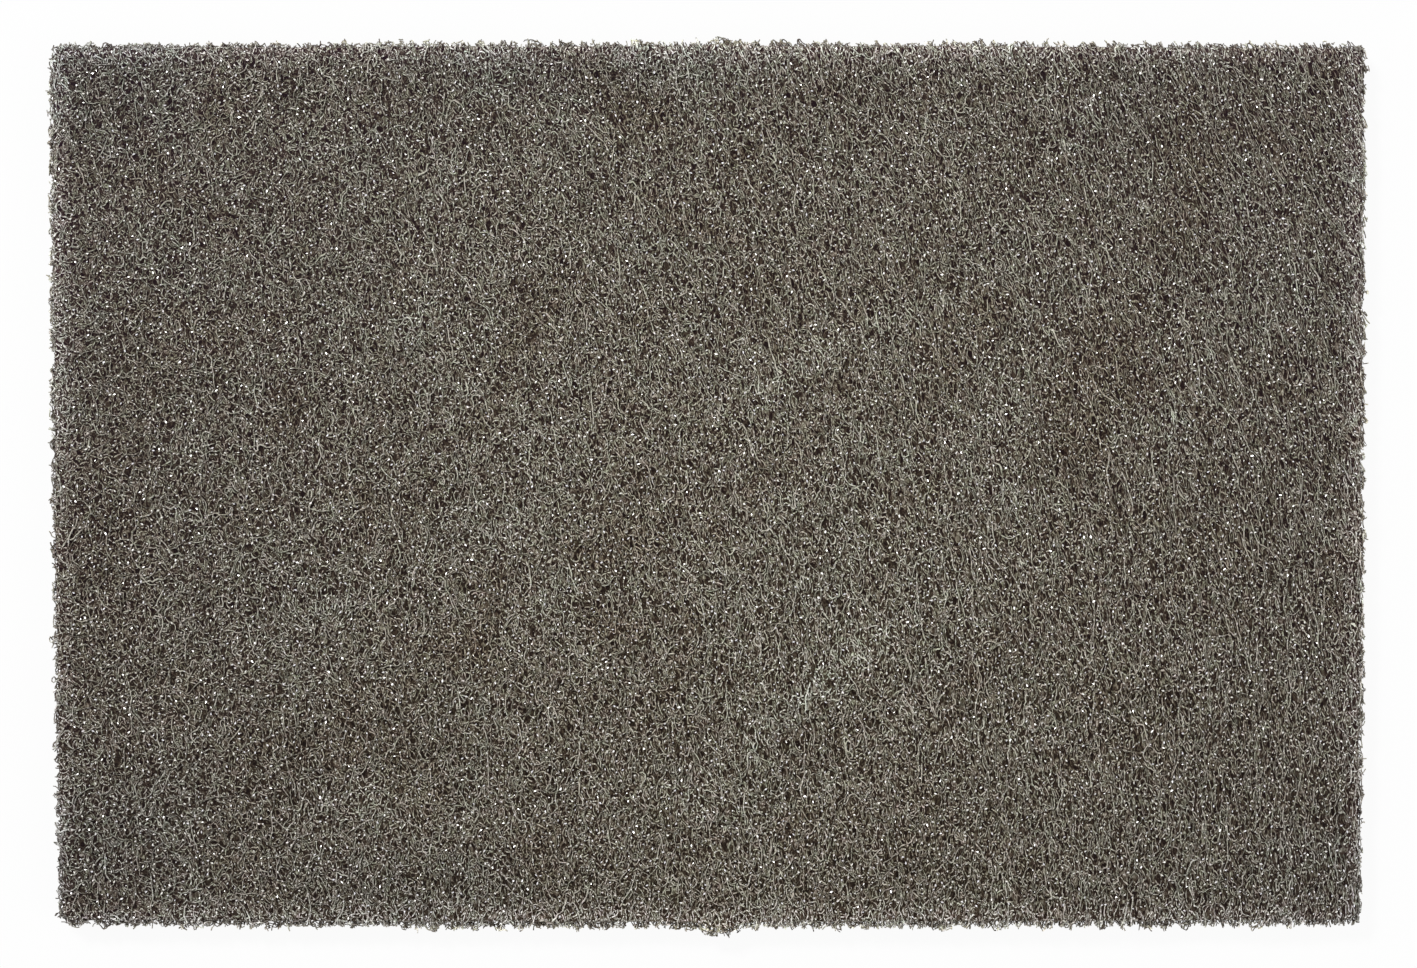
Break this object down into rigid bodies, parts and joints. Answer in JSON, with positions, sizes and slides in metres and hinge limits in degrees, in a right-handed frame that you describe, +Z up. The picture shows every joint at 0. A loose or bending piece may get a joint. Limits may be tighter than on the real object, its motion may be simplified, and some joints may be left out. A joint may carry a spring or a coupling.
{
  "type": "non-woven abrasive pad",
  "caption": "Flat rectangular hand pad of lofty fibre web coated with abrasive resin, die-cut with small rounded corners.",
  "frame": {"origin": "on the surface the pad lies on, under the middle of the pad", "axes": "+X along the pad's length, +Y across its width towards the top of the picture, +Z up through its thickness"},
  "size_m": [0.2288, 0.1555, 0.008],
  "materials": {
    "abrasive_web": "dull olive grey resin-coated nylon fibre, open web, with small bright abrasive grains"
  },
  "bodies": {
    "root": {"abrasive_web": "abrasive_web"}
  },
  "joints": []
}
